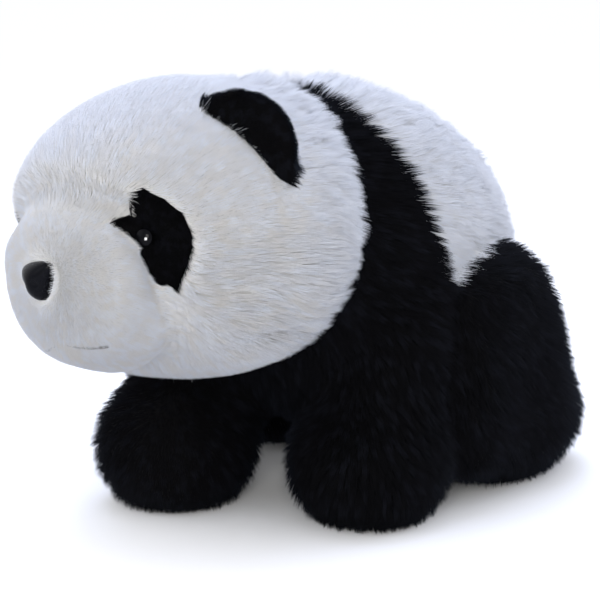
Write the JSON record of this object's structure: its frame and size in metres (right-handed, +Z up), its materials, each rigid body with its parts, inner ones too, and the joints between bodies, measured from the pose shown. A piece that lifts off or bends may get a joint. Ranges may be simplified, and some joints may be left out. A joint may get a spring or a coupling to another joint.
{
  "type": "plush toy panda",
  "caption": "Stuffed plush toy of a giant panda standing on all fours with its head turned and tilted, long-pile faux fur, plastic eyes and nose.",
  "frame": {"origin": "middle of the toy's footprint box, on the floor", "axes": "+X to the toy's own left, +Y to its rump, +Z up; it faces -Y with the head turned a little to its own right"},
  "size_m": [0.2976, 0.4454, 0.3029],
  "materials": {
    "white_fur": "long-pile plush, matt with a soft sheen",
    "black_fur": "long-pile plush, matt with a soft sheen",
    "black_velour": "short-pile plush, matt",
    "black_plastic": "moulded, polished"
  },
  "bodies": {
    "root": {"head": "white_fur", "muzzle": "white_fur", "back": "white_fur", "tail": "white_fur", "ear_left": "black_fur", "ear_right": "black_fur", "shoulder_yoke": "black_fur", "foreleg_left": "black_fur", "foreleg_right": "black_fur", "hindleg_left": "black_fur", "hindleg_right": "black_fur", "eye_patch_left": "black_velour", "eye_patch_right": "black_velour", "eye_left": "black_plastic", "eye_right": "black_plastic", "nose": "black_plastic"}
  },
  "joints": []
}
